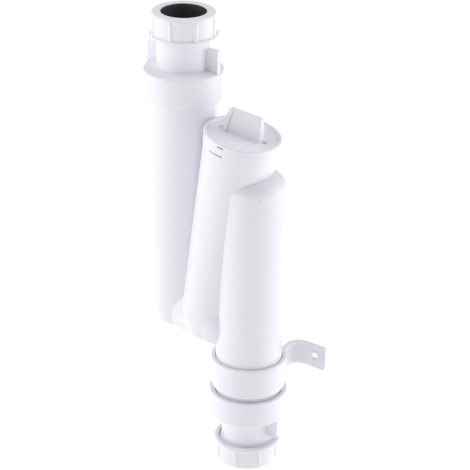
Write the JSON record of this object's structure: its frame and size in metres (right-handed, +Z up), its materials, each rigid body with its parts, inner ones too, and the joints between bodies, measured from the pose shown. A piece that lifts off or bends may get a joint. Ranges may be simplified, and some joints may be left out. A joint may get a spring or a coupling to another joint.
{
  "type": "offset trap",
  "caption": "White plastic offset waste trap with a U-bend, a leaning middle limb under a bayonet cleanout cap, swivelling threaded ends and a wall bracket.",
  "frame": {"origin": "on the inlet axis, in the middle of the rubber seal that grips the waste pipe", "axes": "+Z up out of the inlet, +X towards the outlet limb, +Y towards the wall"},
  "size_m": [0.1417, 0.0693, 0.3501],
  "materials": {
    "white_body": "gloss",
    "white_adaptor": "gloss",
    "white_nut": "gloss",
    "white_cap": "gloss",
    "white_bracket": "gloss",
    "slip_ring": "matte",
    "black_rubber": "matte",
    "grey_rubber": "matte"
  },
  "bodies": {
    "inlet_end": {"inlet_adaptor": "white_adaptor", "inlet_adaptor_seal": "grey_rubber", "inlet_pipe_seal": "black_rubber"},
    "inlet_slip": {"inlet_friction_ring": "slip_ring"},
    "inlet_nut_body": {"inlet_nut": "white_nut"},
    "trap": {"trap_body": "white_body"},
    "cap": {"cleanout_cap": "white_cap", "cleanout_seal": "grey_rubber"},
    "bracket": {"wall_bracket": "white_bracket"},
    "outlet_end": {"outlet_adaptor": "white_adaptor", "outlet_adaptor_seal": "grey_rubber", "outlet_pipe_seal": "black_rubber"},
    "outlet_slip": {"outlet_friction_ring": "slip_ring"},
    "outlet_nut_body": {"outlet_nut": "white_nut"}
  },
  "joints": [
    {"name": "inlet_nut_travel", "type": "slide", "parent": "inlet_end", "child": "inlet_slip", "axis": [0, 0, 1], "range_m": [0, 0.006]},
    {"name": "inlet_nut_turn", "type": "hinge", "parent": "inlet_slip", "child": "inlet_nut_body", "pos_m": [0, 0, 0], "axis": [0, 0, 1], "range_deg": [0, 720]},
    {"name": "trap_swivel", "type": "hinge", "parent": "inlet_end", "child": "trap", "pos_m": [0, 0, -0.0467], "axis": [0, 0, 1], "continuous": true},
    {"name": "cap_turn", "type": "hinge", "parent": "trap", "child": "cap", "pos_m": [0.0545, -0.01, -0.0727], "axis": [0.1547, 0, 0.988], "range_deg": [0, 16]},
    {"name": "bracket_swivel", "type": "hinge", "parent": "trap", "child": "bracket", "pos_m": [0.0629, -0.01, -0.2607], "axis": [0, 0, 1], "continuous": true},
    {"name": "outlet_swivel", "type": "hinge", "parent": "trap", "child": "outlet_end", "pos_m": [0.0629, -0.01, -0.2877], "axis": [0, 0, 1], "continuous": true},
    {"name": "outlet_nut_travel", "type": "slide", "parent": "outlet_end", "child": "outlet_slip", "axis": [0, 0, -1], "range_m": [0, 0.006]},
    {"name": "outlet_nut_turn", "type": "hinge", "parent": "outlet_slip", "child": "outlet_nut_body", "pos_m": [0.0629, -0.01, -0.3329], "axis": [0, 0, -1], "range_deg": [0, 720]}
  ],
  "couplings": [
    {"joint": "inlet_nut_travel", "follows": "inlet_nut_turn", "m_per_rad": 0.00047746},
    {"joint": "outlet_nut_travel", "follows": "outlet_nut_turn", "m_per_rad": 0.00047746}
  ]
}
